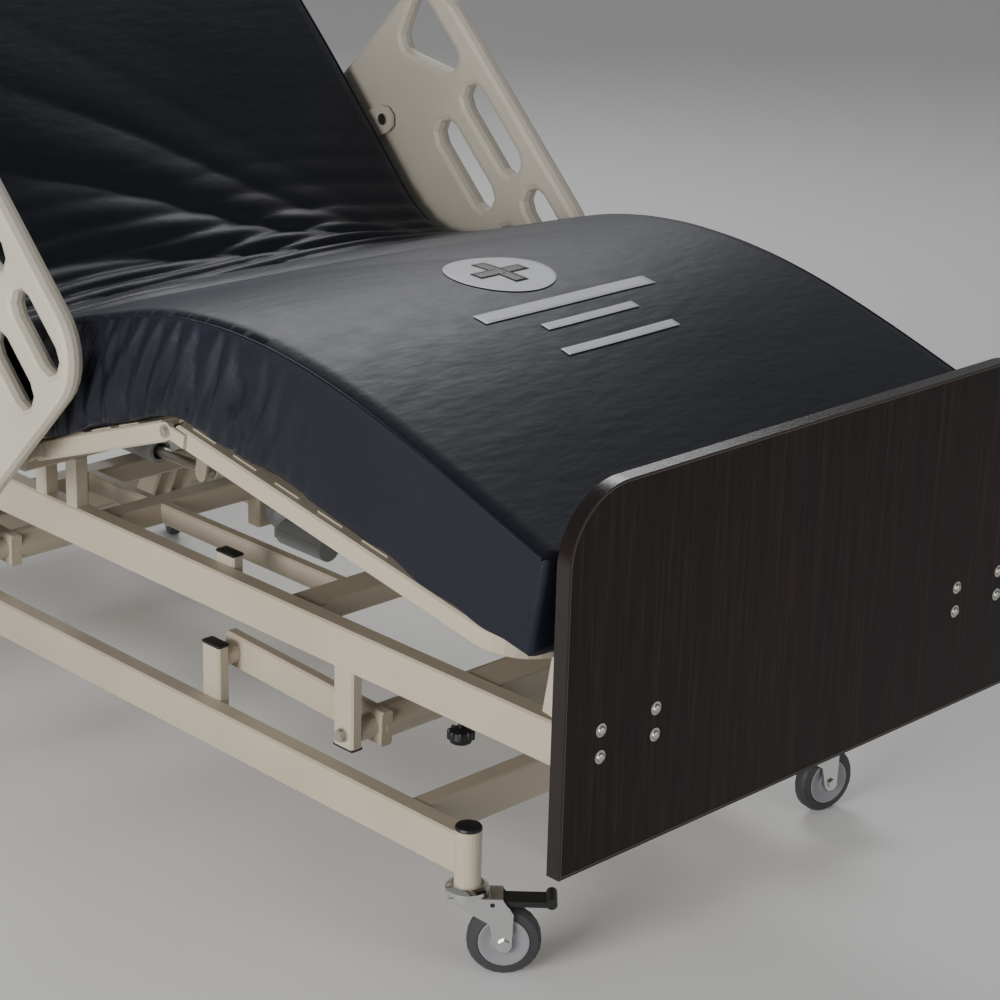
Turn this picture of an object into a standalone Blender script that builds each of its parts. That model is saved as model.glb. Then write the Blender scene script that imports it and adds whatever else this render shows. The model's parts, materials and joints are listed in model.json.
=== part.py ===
"""An adjustable hospital bed: base on casters, parallel lift arms, upper frame, folding deck and mattress.

The foot of the bed is at -Y and the head at +Y, and the floor is at Z = 0. The bed is modelled with its
backrest and knees raised, close to its lowest height. Every folding section is drawn flat in its own
frame, whose origin is its hinge, and an empty turns it to its angle.
"""
import bpy
import bmesh
import math
from mathutils import Matrix, Vector

X_AXIS, Y_AXIS, Z_AXIS = 0, 1, 2
SIDES = {"left": -1, "right": 1}
GAP = 0.0003

# Base frame
POST_X = 0.343
POST_Y = 0.766
POST_RADIUS = 0.0182
POST_BOTTOM = 0.1315
POST_TOP = 0.211
BASE_RAIL_WIDTH = 0.030
BASE_RAIL_HEIGHT = 0.061
BASE_RAIL_Z = 0.1745
BASE_CROSS_Y = 0.6545
BASE_CROSS_WIDTH = 0.033

# Lift arms: each crank turns on the base uprights and carries the upper frame's brackets
LIFT_SPACING = 0.900
UPRIGHT_Y = -0.2055
UPRIGHT_Z = 0.2655
UPRIGHT_X = 0.321
UPRIGHT_TOP = 0.285
ARM_LENGTH = 0.3038
ARM_DROP = math.radians(2.36)
ARM_X = 0.279
ARM_THICK = 0.020
ARM_DEEP = 0.052
BOSS_RADIUS = 0.0175
PIVOT_HOLE = 0.0062
PIVOT_BOLT = 0.0058
LEVER_LENGTH = 0.100
LEVER_LEAN = math.radians(25.5)
LINK_X = 0.050

# Upper frame
RAIL_X = 0.325
RAIL_WIDTH = 0.030
RAIL_HEIGHT = 0.062
RAIL_Z = 0.380
BOARD_INNER_Y = 1.026
BOARD_THICK = 0.020
BOARD_HALF_WIDTH = 0.462
BOARD_BOTTOM = 0.288
FOOTBOARD_TOP = 0.776
HEADBOARD_TOP = 0.930
BOARD_CORNER = 0.095
KNOB_X = 0.261
KNOB_Y = -0.662

# Deck: hinge axes run along X at the middle of the deck rails
DECK_Z = 0.531
DECK_RAIL_X = 0.425
DECK_TUBE = 0.030
TUBE_END = 0.014
THIGH_HINGE_Y = 0.076
BACK_HINGE_Y = 0.264
THIGH_LENGTH = 0.360
CALF_LENGTH = 0.690
BACK_LENGTH = 0.745
THIGH_ANGLE = math.radians(19.5)
CALF_ANGLE = math.radians(10.0)
BACK_ANGLE = math.radians(45.0)
SLAT_WIDTH = 0.050
SLAT_THICK = 0.006
SLAT_Z = 0.014
PIN_RADIUS = 0.0058
DECK_ROD_Z = DECK_Z - 0.097

# Mattress blocks, above the deck in each section's own frame
MATTRESS_HALF_WIDTH = 0.457
MATTRESS_BOTTOM = 0.0185
MATTRESS_TOP = 0.183
CALF_MATTRESS_TOP = 0.197
MATTRESS_FOOT = 0.715
MATTRESS_HEAD = 0.752

# Assist rails, in the back section's frame
RAIL_PLANE_X = 0.500
RAIL_THICK = 0.030
ASSIST_PIVOT = (0.290, 0.190)

# Casters
WHEEL_RADIUS = 0.050
WHEEL_WIDTH = 0.026
TRAIL = 0.050
BRAKE_PIVOT = (0.034, 0.1085)
CASTER_TURN = {"foot_left": -44.6, "foot_right": -10.4, "head_left": 118.0, "head_right": 64.0}

COLOURS = {
    "frame": ((0.50, 0.46, 0.37), 0.38, 0.0),
    "wood": ((0.035, 0.016, 0.011), 0.38, 0.0),
    "vinyl": ((0.012, 0.014, 0.022), 0.42, 0.0),
    "steel": ((0.62, 0.62, 0.60), 0.28, 1.0),
    "black": ((0.010, 0.010, 0.011), 0.45, 0.0),
    "tread": ((0.028, 0.028, 0.032), 0.55, 0.0),
    "motor": ((0.30, 0.31, 0.33), 0.50, 0.0),
    "moulded": ((0.52, 0.48, 0.39), 0.50, 0.0),
}


def clear_scene():
    for item in list(bpy.data.objects):
        bpy.data.objects.remove(item, do_unlink=True)


def new_collection(name):
    group = bpy.data.collections.new(name)
    bpy.context.scene.collection.children.link(group)
    return group


def make_material(name):
    colour, roughness, metallic = COLOURS[name]
    material = bpy.data.materials.new(name)
    material.use_nodes = True
    shader = material.node_tree.nodes["Principled BSDF"]
    shader.inputs["Base Color"].default_value = (*colour, 1.0)
    shader.inputs["Roughness"].default_value = roughness
    shader.inputs["Metallic"].default_value = metallic
    return material


clear_scene()
BED = new_collection("hospital_bed")
WORKSHOP = new_collection("cutters")
MATERIALS = {name: make_material(name) for name in COLOURS}


# Simple solids. Each function returns an object that weld() then joins, cuts and names.

def to_solid(work):
    mesh = bpy.data.meshes.new("solid")
    work.to_mesh(mesh)
    work.free()
    solid = bpy.data.objects.new("solid", mesh)
    WORKSHOP.objects.link(solid)
    return solid


def bar(size, centre, along=Y_AXIS, corner=0.003):
    """A closed rectangular tube with rounded long edges."""
    work = bmesh.new()
    bmesh.ops.create_cube(work, size=1.0)
    bmesh.ops.scale(work, vec=size, verts=work.verts)
    across = [axis for axis in range(3) if axis != along]
    edges = [edge for edge in work.edges
             if all(abs(edge.verts[0].co[axis] - edge.verts[1].co[axis]) < 1e-6 for axis in across)]
    bmesh.ops.bevel(work, geom=edges, offset=corner, segments=1, affect="EDGES", profile=0.5)
    bmesh.ops.translate(work, vec=centre, verts=work.verts)
    return to_solid(work)


def rod(radius, length, centre, along=X_AXIS, sides=16):
    """A cylinder."""
    work = bmesh.new()
    bmesh.ops.create_cone(work, cap_ends=True, segments=sides, radius1=radius, radius2=radius, depth=length)
    turns = {X_AXIS: ("Y", math.pi / 2), Y_AXIS: ("X", -math.pi / 2), Z_AXIS: ("Z", 0.0)}
    name, angle = turns[along]
    bmesh.ops.transform(work, matrix=Matrix.Rotation(angle, 4, name), verts=work.verts)
    bmesh.ops.translate(work, vec=centre, verts=work.verts)
    return to_solid(work)


def arc(centre, radius, start, end, steps):
    """Points along an arc, with its angles in degrees."""
    points = []
    for step in range(steps + 1):
        angle = math.radians(start + (end - start) * step / steps)
        points.append((centre[0] + radius * math.cos(angle), centre[1] + radius * math.sin(angle)))
    return points


def rounded_outline(low, high, radii, steps=4):
    """A rectangle whose corners, from the lower left anticlockwise, have the given radii."""
    signs = [(1, 1, 180), (-1, 1, 270), (-1, -1, 0), (1, -1, 90)]
    corners = [(low[0], low[1]), (high[0], low[1]), (high[0], high[1]), (low[0], high[1])]
    points = []
    for (x, y), radius, (sign_x, sign_y, start) in zip(corners, radii, signs):
        if radius == 0:
            points.append((x, y))
        else:
            points += arc((x + sign_x * radius, y + sign_y * radius), radius, start, start + 90, steps)
    return points


def slot_outline(start, end, radius, steps=4):
    """A slot with round ends, around the line from start to end."""
    heading = math.degrees(math.atan2(end[1] - start[1], end[0] - start[0]))
    return (arc(end, radius, heading - 90, heading + 90, steps)
            + arc(start, radius, heading + 90, heading + 270, steps))


def plate(outlines, thickness, place, rounding=0.0):
    """A flat plate drawn in XY, with holes, rounded edges and a matrix that puts it in its place."""
    curve = bpy.data.curves.new("outline", "CURVE")
    curve.dimensions = "2D"
    curve.fill_mode = "BOTH"
    curve.resolution_u = 1
    curve.render_resolution_u = 0
    curve.extrude = thickness / 2 - rounding
    curve.bevel_depth = rounding
    curve.bevel_resolution = 1 if rounding > 0.005 else 0
    curve.offset = -rounding
    for outline in outlines:
        spline = curve.splines.new("POLY")
        spline.points.add(len(outline) - 1)
        for point, (x, y) in zip(spline.points, outline):
            point.co = (x, y, 0.0, 1.0)
        spline.use_cyclic_u = True
    drawn = bpy.data.objects.new("outline", curve)
    WORKSHOP.objects.link(drawn)
    mesh = bpy.data.meshes.new_from_object(drawn.evaluated_get(bpy.context.evaluated_depsgraph_get()))
    bpy.data.objects.remove(drawn)
    work = bmesh.new()
    work.from_mesh(mesh)
    bmesh.ops.remove_doubles(work, verts=work.verts, dist=0.00001)
    bmesh.ops.dissolve_degenerate(work, dist=0.00002, edges=work.edges)
    bmesh.ops.transform(work, matrix=place, verts=work.verts)
    bmesh.ops.recalc_face_normals(work, faces=work.faces)
    return to_solid(work)


def standing(x):
    """Turns a plate's XY drawing into the YZ plane at the given X."""
    return Matrix.Translation((x, 0, 0)) @ Matrix(((0, 0, 1, 0), (1, 0, 0, 0), (0, 1, 0, 0), (0, 0, 0, 1)))


def facing_foot(y):
    """Turns a plate's XY drawing into the XZ plane at the given Y."""
    return Matrix.Translation((0, y, 0)) @ Matrix(((1, 0, 0, 0), (0, 0, -1, 0), (0, 1, 0, 0), (0, 0, 0, 1)))


def turned(profile, steps, place=None):
    """A turned solid from a profile of (radius, height); a profile that starts on the axis also ends on it."""
    work = bmesh.new()
    rings = [work.verts.new((radius, 0.0, height)) for radius, height in profile]
    on_axis = profile[0][0] == 0
    for first, second in zip(rings, rings[1:] if on_axis else rings[1:] + rings[:1]):
        work.edges.new((first, second))
    solid = to_solid(work)
    screw = solid.modifiers.new("turn", "SCREW")
    screw.steps = steps
    screw.render_steps = steps
    screw.use_merge_vertices = True
    screw.merge_threshold = 0.00001
    mesh = bpy.data.meshes.new_from_object(solid.evaluated_get(bpy.context.evaluated_depsgraph_get()))
    bpy.data.objects.remove(solid)
    work = bmesh.new()
    work.from_mesh(mesh)
    bmesh.ops.recalc_face_normals(work, faces=work.faces)
    if place is not None:
        bmesh.ops.transform(work, matrix=place, verts=work.verts)
    return to_solid(work)


def weld(name, material, solids, cuts=(), parent=None, smooth_angle=35.0):
    """Joins the solids into one body, cuts the holes, and names the finished piece."""
    body = solids[0]
    for operation, tools in (("UNION", solids[1:]), ("DIFFERENCE", cuts)):
        for tool in tools:
            boolean = body.modifiers.new(operation.lower(), "BOOLEAN")
            boolean.operation = operation
            boolean.object = tool
    mesh = bpy.data.meshes.new_from_object(body.evaluated_get(bpy.context.evaluated_depsgraph_get()))
    for used in [*solids, *cuts]:
        bpy.data.objects.remove(used)
    mesh.name = name
    mesh.materials.clear()
    mesh.materials.append(MATERIALS[material])
    mesh.shade_smooth()
    mesh.set_sharp_from_angle(angle=math.radians(smooth_angle))
    piece = bpy.data.objects.new(name, mesh)
    BED.objects.link(piece)
    piece.parent = parent
    return piece


def pivot(name, place, turn_x=0.0, turn_z=0.0, parent=None):
    """An empty on a joint's axis."""
    empty = bpy.data.objects.new(name, None)
    empty.location = place
    empty.rotation_euler = (turn_x, 0.0, turn_z)
    empty.parent = parent
    BED.objects.link(empty)
    return empty


def mirrored(make):
    """Makes a solid on both sides of the bed."""
    return [make(side) for side in SIDES.values()]


def ear(x, centre, reach, radius=0.013, thickness=0.008):
    """A hinge ear: a round end at the hinge axis and a tail that overlaps its section by reach."""
    tail = bar((thickness - 0.0004, abs(reach), radius * 1.6), (x, centre + reach / 2, 0.0),
               corner=0.002)
    return [rod(radius, thickness, (x, centre, 0.0)), tail]


# Base

def base_frame():
    solids = mirrored(lambda side: bar((BASE_RAIL_WIDTH, 2 * POST_Y, BASE_RAIL_HEIGHT),
                                       (side * POST_X, 0, BASE_RAIL_Z)))
    for end in (-1, 1):
        solids.append(bar((2 * POST_X, BASE_CROSS_WIDTH, BASE_RAIL_HEIGHT - 0.004),
                          (0, end * BASE_CROSS_Y, BASE_RAIL_Z), along=X_AXIS))
        solids += mirrored(lambda side: rod(POST_RADIUS, POST_TOP - POST_BOTTOM,
                                            (side * POST_X, end * POST_Y, (POST_TOP + POST_BOTTOM) / 2),
                                            along=Z_AXIS, sides=24))
    holes = []
    upright_bottom = BASE_RAIL_Z - 0.022
    for y in (UPRIGHT_Y, UPRIGHT_Y + LIFT_SPACING):
        for side in SIDES.values():
            solids.append(bar((0.020, 0.040, UPRIGHT_TOP - upright_bottom),
                              (side * UPRIGHT_X, y, (UPRIGHT_TOP + upright_bottom) / 2), along=Z_AXIS))
            solids.append(rod(BOSS_RADIUS, 0.026, (side * 0.3025, y, UPRIGHT_Z)))
            holes.append(rod(PIVOT_HOLE, 0.046, (side * 0.302, y, UPRIGHT_Z), sides=16))
    weld("base_frame", "frame", solids, holes)


def hex_bolt(name, x_head, x_tip, place, parent, washer=0.0105):
    """A bolt along X: a washer and a hexagonal head at x_head, and a shank that reaches x_tip."""
    inward = math.copysign(1.0, x_tip - x_head)
    y, z = place
    length = abs(x_tip - x_head)
    solids = [rod(PIVOT_BOLT, length - 0.0015, ((x_head + 0.0015 * inward + x_tip) / 2, y, z), sides=16),
              rod(0.0085, 0.0075, (x_head + inward * 0.00375, y, z), sides=6),
              rod(washer, 0.002, (x_head + inward * 0.0078, y, z), sides=20)]
    return weld(name, "steel", solids, parent=parent)


def upright_bolts():
    """The lift arms' base pivots: a head on the inner face of each arm."""
    for end, y in (("foot", UPRIGHT_Y), ("head", UPRIGHT_Y + LIFT_SPACING)):
        for side, sign in SIDES.items():
            hex_bolt(f"arm_bolt_{end}_{side}", sign * 0.2598, sign * 0.3225, (y, UPRIGHT_Z), None)


# Casters

def caster(name, sign_x, sign_y, braked):
    place = (sign_x * POST_X, sign_y * POST_Y, 0.0)
    heading = math.radians(CASTER_TURN[name])
    cup = turned([(0.0, 0.1312), (0.022, 0.1312), (0.0285, 0.1275), (0.0285, 0.1200), (0.0, 0.1200)], 24)
    head = weld(f"caster_head_{name}", "steel", [cup])
    head.location = place
    swivel = pivot(f"swivel_{name}", place, turn_z=heading)
    crown = rod(0.0265, 0.0062, (0, 0, 0.1166), along=Z_AXIS, sides=24)
    bridge = bar((0.052, 0.038, 0.0030), (0.022, 0, 0.1158), along=X_AXIS, corner=0.001)
    leg_outline = [(-0.026, 0.1168), (0.047, 0.1168), (0.062, 0.095), (0.0605, 0.046),
                   (0.055, 0.0385), (0.045, 0.0385), (0.038, 0.046), (0.030, 0.080), (-0.012, 0.105)]
    brake_hole = arc(BRAKE_PIVOT, 0.0034, 0, 330, 11)
    legs = []
    for side in SIDES.values():
        upright = Matrix(((1, 0, 0, 0), (0, 0, -1, side * 0.0185), (0, 1, 0, 0), (0, 0, 0, 1)))
        legs.append(plate([leg_outline, brake_hole] if braked else [leg_outline], 0.003, upright))
    axle = rod(0.0055, 0.0450, (TRAIL, 0, WHEEL_RADIUS), along=Y_AXIS, sides=16)
    nuts = [rod(0.0082, 0.0045, (TRAIL, side * 0.0217, WHEEL_RADIUS), along=Y_AXIS, sides=6)
            for side in SIDES.values()]
    weld(f"caster_fork_{name}", "steel", [crown, bridge, *legs, axle, *nuts], parent=swivel)
    half = WHEEL_WIDTH / 2
    profile = [(0.0060, half), (0.013, half), (0.0150, half - 0.003), (0.034, half - 0.003),
               (0.036, half), (0.0460, half - 0.002), (WHEEL_RADIUS, 0.006)]
    profile += [(radius, -height) for radius, height in reversed(profile)]
    spin = pivot(f"spin_{name}", (TRAIL, 0, WHEEL_RADIUS), parent=swivel)
    wheel = turned(profile, 24, Matrix.Rotation(math.pi / 2, 4, "X"))
    weld(f"caster_wheel_{name}", "tread", [wheel], parent=spin, smooth_angle=28.0)
    if braked:
        hinge = pivot(f"brake_hinge_{name}", (BRAKE_PIVOT[0], 0, BRAKE_PIVOT[1]), parent=swivel)
        lever = bar((0.086, 0.030, 0.008), (0.037, 0, -0.0005), along=Y_AXIS, corner=0.0025)
        toe = rod(0.0075, 0.036, (0.078, 0, 0.002), along=Y_AXIS)
        hinge_pin = rod(0.0030, 0.0385, (0, 0, 0), along=Y_AXIS, sides=12)
        weld(f"brake_pedal_{name}", "black", [lever, toe, hinge_pin], parent=hinge)


def casters():
    for end, sign_y in (("foot", -1), ("head", 1)):
        for side, sign_x in SIDES.items():
            caster(f"{end}_{side}", sign_x, sign_y, braked=end == "foot")


# Lift

def crank(name, base_y):
    """Two lift arms on a torque tube, with the levers that the link and the motor move."""
    hinge = pivot(f"{name}_pivot", (0, base_y, UPRIGHT_Z), turn_x=ARM_DROP)
    overhang = 0.0165
    arm_size = (ARM_THICK, ARM_LENGTH + overhang + 0.024, ARM_DEEP)
    arm_middle = -(ARM_LENGTH + 0.024 - overhang) / 2
    solids = [rod(0.025, 2 * ARM_X, (0, -ARM_LENGTH, 0), sides=24)]
    solids += mirrored(lambda side: bar(arm_size, (side * ARM_X, arm_middle, 0)))
    solids += mirrored(lambda side: rod(BOSS_RADIUS, 0.0415, (side * 0.29875, -ARM_LENGTH, 0), sides=20))
    lean = LEVER_LEAN - ARM_DROP
    tip = (-ARM_LENGTH - LEVER_LENGTH * math.sin(lean), LEVER_LENGTH * math.cos(lean))
    for x in (-0.017, 0.017, LINK_X + 0.0075):
        solids.append(plate([slot_outline((-ARM_LENGTH, 0), tip, 0.019)], 0.006, standing(x)))
    solids.append(rod(PIVOT_BOLT, 0.0180, (0.0515, *tip), sides=12))
    holes = []
    for side in SIDES.values():
        holes.append(rod(PIVOT_HOLE, 0.030, (side * ARM_X, 0, 0)))
        holes.append(rod(PIVOT_HOLE, 0.056, (side * 0.302, -ARM_LENGTH, 0)))
    weld(name, "frame", solids, holes, parent=hinge)


def lever_tip(base_y):
    """Where a crank's lever ends, in the bed's frame."""
    pivot_y = base_y - ARM_LENGTH * math.cos(ARM_DROP)
    pivot_z = UPRIGHT_Z - ARM_LENGTH * math.sin(ARM_DROP)
    return pivot_y - LEVER_LENGTH * math.sin(LEVER_LEAN), pivot_z + LEVER_LENGTH * math.cos(LEVER_LEAN)


def lift_link():
    y, z = lever_tip(UPRIGHT_Y)
    hinge = pivot("lift_link_pivot", (0, y, z))
    outline = slot_outline((0, 0), (LIFT_SPACING, 0), 0.012)
    holes = [arc((y, 0), 0.0066, 0, 330, 11) for y in (0.0, LIFT_SPACING)]
    weld("lift_link", "frame", [plate([outline, *holes], 0.006, standing(LINK_X))], parent=hinge)


# Upper frame

def bracket_place(base_y):
    return base_y - ARM_LENGTH * math.cos(ARM_DROP), UPRIGHT_Z - ARM_LENGTH * math.sin(ARM_DROP)


def upper_frame():
    rail_length = 2 * (BOARD_INNER_Y - GAP)
    solids = mirrored(lambda side: bar((RAIL_WIDTH, rail_length, RAIL_HEIGHT), (side * RAIL_X, 0, RAIL_Z)))
    cross_tubes = [(-0.750, 0.060, 0.057, 0.3805), (-0.384, 0.058, 0.030, 0.390),
                   (THIGH_HINGE_Y, 0.040, 0.034, 0.388), (BACK_HINGE_Y, 0.040, 0.034, 0.388),
                   (0.750, 0.060, 0.057, 0.3805)]
    for y, width, height, z in cross_tubes:
        solids.append(bar((2 * RAIL_X, width, height), (0, y, z), along=X_AXIS))
    solids += mirrored(lambda side: bar((0.020, 0.650, 0.0325), (side * 0.210, -0.060, 0.3885)))
    solids += mirrored(lambda side: bar((0.020, 0.040, 0.075), (side * 0.302, -0.217, 0.3875), along=Z_AXIS))
    for y in (0.125, 0.205):
        solids += mirrored(lambda side: bar((0.026, 0.026, 0.0874), (side * RAIL_X, y, 0.4438), along=Z_AXIS))
    solids.append(bar((0.650, 0.040, 0.034), (0, 0.500, 0.388), along=X_AXIS))
    solids += mirrored(lambda side: bar((0.034, 0.090, 0.005), (side * KNOB_X, -0.688, 0.3546), corner=0.001))
    for x, y, height, z in ((0.0, 0.076, 0.070, 0.353), (0.120, -0.384, 0.062, 0.421), (-0.120, 0.500, 0.062, 0.421)):
        solids.append(bar((0.050, 0.030, height), (x, y, z), along=Z_AXIS))
    for end in (-1, 1):
        solids += mirrored(lambda side: bar((0.140, 0.006, 0.100), (side * 0.3475, end * 1.0227, 0.440),
                                            along=Y_AXIS, corner=0.004))
    holes = []
    for base_y in (UPRIGHT_Y, UPRIGHT_Y + LIFT_SPACING):
        y, z = bracket_place(base_y)
        for side in SIDES.values():
            solids.append(bar((0.0196, 0.040, 0.125), (side * 0.3298, y, 0.2975), along=Z_AXIS))
            holes.append(rod(PIVOT_HOLE, 0.030, (side * 0.330, y, z), sides=16))
    weld("upper_frame", "frame", solids, holes)


def bracket_bolts():
    for end, base_y in (("foot", UPRIGHT_Y), ("head", UPRIGHT_Y + LIFT_SPACING)):
        for side, sign in SIDES.items():
            hex_bolt(f"frame_bolt_{end}_{side}", sign * 0.3489, sign * 0.2950, bracket_place(base_y), None)


def board(name, sign_y, top):
    radii = (0.004, 0.004, BOARD_CORNER, BOARD_CORNER)
    outline = rounded_outline((-BOARD_HALF_WIDTH, BOARD_BOTTOM), (BOARD_HALF_WIDTH, top), radii, steps=10)
    middle = sign_y * (BOARD_INNER_Y + BOARD_THICK / 2)
    weld(name, "wood", [plate([outline], BOARD_THICK, facing_foot(middle), rounding=0.002)])


def clamp_knobs():
    """The hand screws under the foot end of the upper frame."""
    profile = [(0.0, 0.2940), (0.009, 0.2940), (0.0165, 0.2900), (0.0175, 0.2800), (0.0140, 0.2730), (0.0, 0.2720)]
    for side, sign in SIDES.items():
        stem = rod(0.004, 0.0627, (0, 0, 0.3204), along=Z_AXIS, sides=12)
        knob = weld(f"clamp_knob_{side}", "black", [turned(profile, 20), stem])
        knob.location = (sign * KNOB_X, KNOB_Y, 0.0)


def control_box():
    box = bar((0.130, 0.095, 0.042), (0, -0.385, 0.4268), along=Z_AXIS, corner=0.010)
    sockets = [bar((0.014, 0.012, 0.012), (x, -0.336, 0.424), along=Y_AXIS) for x in (-0.036, -0.012, 0.012, 0.036)]
    weld("control_box", "motor", [box, *sockets])


def motor(name, x, y_rear, y_front, z, y_mount):
    """A linear motor along Y: outer tube, gearbox, motor can, and the block at its rear that holds it."""
    toward = math.copysign(1.0, y_front - y_rear)
    tube = rod(0.020, abs(y_front - y_rear), (x, (y_rear + y_front) / 2, z), along=Y_AXIS, sides=20)
    gearbox = bar((0.062, 0.060, 0.044), (x, y_rear + toward * 0.045, z), along=Z_AXIS, corner=0.010)
    can_x = x - math.copysign(0.038, x)
    can = rod(0.0205, 0.105, (can_x, y_rear + toward * 0.115, z), along=Y_AXIS, sides=20)
    block_end = y_rear + toward * 0.020
    block = bar((0.024, abs(block_end - y_mount), 0.026), (x, (block_end + y_mount) / 2, z))
    bore = rod(0.014, 0.165, (x, y_front - toward * 0.0775, z), along=Y_AXIS)
    return weld(name, "motor", [tube, gearbox, can, block], [bore])


def push_rod(name, x, y_inside, y_eye, z):
    """The rod that slides out of a motor, with a flat eye at its end."""
    toward = math.copysign(1.0, y_eye - y_inside)
    shaft = rod(0.009, abs(y_eye - y_inside) - 0.008, (x, (y_inside + y_eye) / 2 - toward * 0.004, z),
                along=Y_AXIS, sides=16)
    outline = slot_outline((y_eye - toward * 0.012, z), (y_eye, z), 0.011)
    return weld(name, "steel", [shaft, plate([outline], 0.012, standing(x))])


def motors():
    tip_y, tip_z = lever_tip(UPRIGHT_Y)
    lift_z = tip_z - 0.004
    motor("lift_motor", 0.0, 0.040, -0.330, lift_z, 0.0607)
    push_rod("lift_motor_rod", 0.0, -0.295, tip_y, lift_z)
    motor("back_motor", 0.120, -0.330, 0.120, DECK_ROD_Z, -0.3687)
    push_rod("back_motor_rod", 0.120, 0.080, BACK_HINGE_Y + 0.0216, DECK_ROD_Z)
    motor("knee_motor", -0.120, 0.455, 0.190, DECK_ROD_Z, 0.4847)
    push_rod("knee_motor_rod", -0.120, 0.225, THIGH_HINGE_Y - 0.0078, DECK_ROD_Z)


# Deck sections

def deck_slats(places):
    return [bar((2 * DECK_RAIL_X + 0.006, SLAT_WIDTH, SLAT_THICK), (0, y, SLAT_Z), along=X_AXIS,
                corner=0.0015) for y in places]


def side_tubes(low, high):
    return mirrored(lambda side: bar((DECK_TUBE, high - low, DECK_TUBE), (side * DECK_RAIL_X, (low + high) / 2, 0)))


def bent_frame(end_y, open_y, radius=0.080):
    """A U-shaped frame bent from one tube, open at open_y and closed at end_y."""
    outer = DECK_RAIL_X + DECK_TUBE / 2
    inner = DECK_RAIL_X - DECK_TUBE / 2
    toward = math.copysign(1.0, end_y - open_y)
    outer_turn = arc((outer - radius, end_y - toward * radius), radius, 0, toward * 90, 8)
    bend = radius - DECK_TUBE
    inner_turn = arc((inner - bend, end_y - toward * radius), bend, toward * 90, 0, 8)
    right = [(outer, open_y), *outer_turn]
    left = [(-x, y) for x, y in reversed(right)]
    inside_right = [*inner_turn, (inner, open_y)]
    inside_left = [(-x, y) for x, y in reversed(inside_right)]
    outline = right + left + inside_left + inside_right
    return plate([outline], DECK_TUBE, Matrix.Identity(4), rounding=0.003)


def ears(x, centre, reach):
    solids = []
    for side in SIDES.values():
        solids += ear(side * x, centre, reach)
    return solids


INNER_EAR_X = 0.4070
OUTER_EAR_X = 0.4420


def pin_holes(*places):
    return [rod(0.0062, 0.016, (side * x, y, 0), sides=16) for x, y in places for side in SIDES.values()]


def lever_plates(x, start, end):
    """Two plates that hang from a section's cross tube and take a motor's rod between them."""
    outline = slot_outline(start, end, 0.013)
    return [plate([outline], 0.005, standing(x + side * 0.0125)) for side in SIDES.values()]


def seat_section(frame):
    length = BACK_HINGE_Y - THIGH_HINGE_Y
    solids = side_tubes(TUBE_END, length - TUBE_END)
    for y in (0.049, 0.129):
        solids.append(bar((2 * DECK_RAIL_X, DECK_TUBE, 0.032), (0, y, -0.0272), along=X_AXIS))
    solids += deck_slats([0.049, 0.124])
    solids += ears(INNER_EAR_X, 0.0, 0.040) + ears(INNER_EAR_X, length, -0.040)
    weld("seat_section", "frame", solids, pin_holes((INNER_EAR_X, 0.0), (INNER_EAR_X, length)), parent=frame)


def thigh_section(frame):
    solids = side_tubes(-THIGH_LENGTH + TUBE_END, -TUBE_END)
    for y in (-0.035, -THIGH_LENGTH + 0.040):
        solids.append(bar((2 * DECK_RAIL_X, 0.028, 0.026), (0, y, -0.001), along=X_AXIS))
    solids += deck_slats([-0.110, -0.180, -0.250])
    solids += ears(OUTER_EAR_X, 0.0, -0.040) + ears(INNER_EAR_X, -THIGH_LENGTH, 0.040)
    solids += lever_plates(-0.120, (-0.035, 0.0), (0.026, -0.097))
    holes = pin_holes((OUTER_EAR_X, 0.0), (INNER_EAR_X, -THIGH_LENGTH))
    weld("thigh_section", "frame", solids, holes, parent=frame)


def calf_section(frame):
    solids = [bent_frame(-CALF_LENGTH, -TUBE_END)]
    solids.append(bar((2 * DECK_RAIL_X, 0.034, 0.026), (0, -0.370, -0.001), along=X_AXIS))
    solids += mirrored(lambda side: bar((0.022, 0.036, 0.115), (side * 0.328, -0.672, -0.0615), along=Z_AXIS))
    solids += deck_slats([-0.060 - 0.088 * step for step in range(7)])
    solids += ears(OUTER_EAR_X, 0.0, -0.040)
    weld("calf_section", "frame", solids, pin_holes((OUTER_EAR_X, 0.0)), parent=frame)


def back_section(frame):
    solids = [bent_frame(BACK_LENGTH, TUBE_END)]
    solids.append(bar((2 * DECK_RAIL_X, 0.028, 0.026), (0, 0.045, -0.001), along=X_AXIS))
    solids.append(bar((2 * DECK_RAIL_X, 0.034, 0.026), (0, 0.370, -0.001), along=X_AXIS))
    solids += deck_slats([0.110 + 0.092 * step for step in range(7)])
    solids += ears(OUTER_EAR_X, 0.0, 0.045)
    lean = math.radians(32.5)
    solids += lever_plates(0.120, (0.045, 0.0), (-0.100 * math.sin(lean), -0.100 * math.cos(lean)))
    weld("back_section", "frame", solids, pin_holes((OUTER_EAR_X, 0.0)), parent=frame)


def hinge_pins(name, frame, y=0.0):
    """A headed pin on each side, through the inner and the outer ear."""
    for side, sign in SIDES.items():
        shank = rod(PIN_RADIUS, 0.0520, (sign * 0.4250, y, 0), sides=16)
        head = rod(0.0095, 0.0030, (sign * 0.4478, y, 0), sides=16)
        weld(f"{name}_pin_{side}", "steel", [shank, head], parent=frame)


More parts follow.
